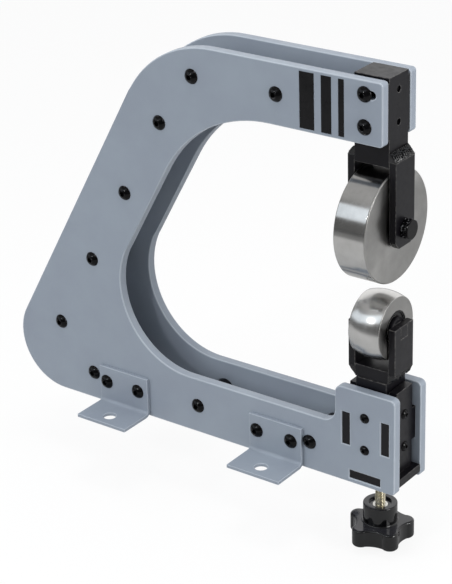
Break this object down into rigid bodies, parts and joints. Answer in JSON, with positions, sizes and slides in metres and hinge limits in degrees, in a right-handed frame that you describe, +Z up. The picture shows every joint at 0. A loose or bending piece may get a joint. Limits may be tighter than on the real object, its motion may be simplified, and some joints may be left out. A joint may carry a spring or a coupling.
{
  "type": "bench english wheel",
  "caption": "Bench-mounted English wheel: twin-plate C frame, forked flat upper wheel, crowned anvil wheel on a yoke raised by a screw with a star knob.",
  "frame": {"origin": "centre of the four bench bolt holes, on the underside of the feet", "axes": "+X forward along the frame towards the wheels, +Z up; the near side plate is at -Y"},
  "size_m": [0.7571, 0.232, 0.781],
  "materials": {
    "frame_paint": "satin",
    "black_steel": "satin",
    "black_screws": "satin",
    "polished_steel": "polished",
    "bare_steel": "ground",
    "zinc_steel": "zinc plated",
    "bronze": "machined",
    "black_plastic": "moulded"
  },
  "bodies": {
    "frame": {"near_side_plate": "frame_paint", "far_side_plate": "frame_paint", "frame_spacers": "black_steel", "near_frame_screws": "black_screws", "far_frame_screws": "black_screws", "near_head_screws": "black_screws", "far_head_screws": "black_screws", "near_front_foot": "frame_paint", "near_rear_foot": "frame_paint", "far_front_foot": "frame_paint", "far_rear_foot": "frame_paint", "near_foot_screws": "black_screws", "far_foot_screws": "black_screws", "guide_front_plate": "black_steel", "guide_rear_plate": "black_steel", "guide_bottom_plate": "black_steel", "near_guide_screws": "black_screws", "far_guide_screws": "black_screws", "front_guide_screws": "black_screws", "head_block": "black_steel", "head_lock_screws": "black_screws", "upper_fork_front_arm": "black_steel", "upper_fork_rear_arm": "black_steel", "upper_fork_welds": "black_steel", "upper_axle_bolt": "black_screws", "upper_axle_nut": "black_screws", "upper_axle_washer": "black_screws", "upper_axle_sleeves": "bare_steel", "upper_bearing_inner_rings": "bare_steel"},
    "top_wheel": {"upper_wheel": "polished_steel", "upper_bearing_outer_rings": "bare_steel", "upper_wheel_circlips": "bare_steel"},
    "yoke": {"lift_slider": "black_steel", "yoke_base": "black_steel", "yoke_front_arm": "black_steel", "yoke_rear_arm": "black_steel", "yoke_welds": "black_steel", "anvil_axle": "black_steel", "anvil_axle_sleeves": "bare_steel", "anvil_bearing_inner_rings": "bare_steel", "thrust_disc": "bronze", "screw_retainer": "bare_steel"},
    "anvil": {"anvil_wheel": "polished_steel", "anvil_bearing_outer_rings": "bare_steel", "anvil_circlips": "bare_steel"},
    "screw": {"lift_screw": "zinc_steel", "knob_insert": "zinc_steel", "star_knob": "black_plastic"}
  },
  "joints": [
    {"name": "upper_wheel_spin", "type": "hinge", "parent": "frame", "child": "top_wheel", "pos_m": [0.3205, 0, 0.432], "axis": [1, 0, 0], "continuous": true},
    {"name": "yoke_lift", "type": "slide", "parent": "frame", "child": "yoke", "axis": [0, 0, 1], "range_m": [-0.0135, 0.024]},
    {"name": "anvil_spin", "type": "hinge", "parent": "yoke", "child": "anvil", "pos_m": [0.3205, 0, 0.264], "axis": [1, 0, 0], "continuous": true},
    {"name": "screw_turn", "type": "hinge", "parent": "yoke", "child": "screw", "pos_m": [0.3205, 0, 0], "axis": [0, 0, 1], "range_deg": [-2431, 4321]}
  ],
  "couplings": [
    {"joint": "screw_turn", "follows": "yoke_lift", "rad_per_m": 3141.6}
  ]
}
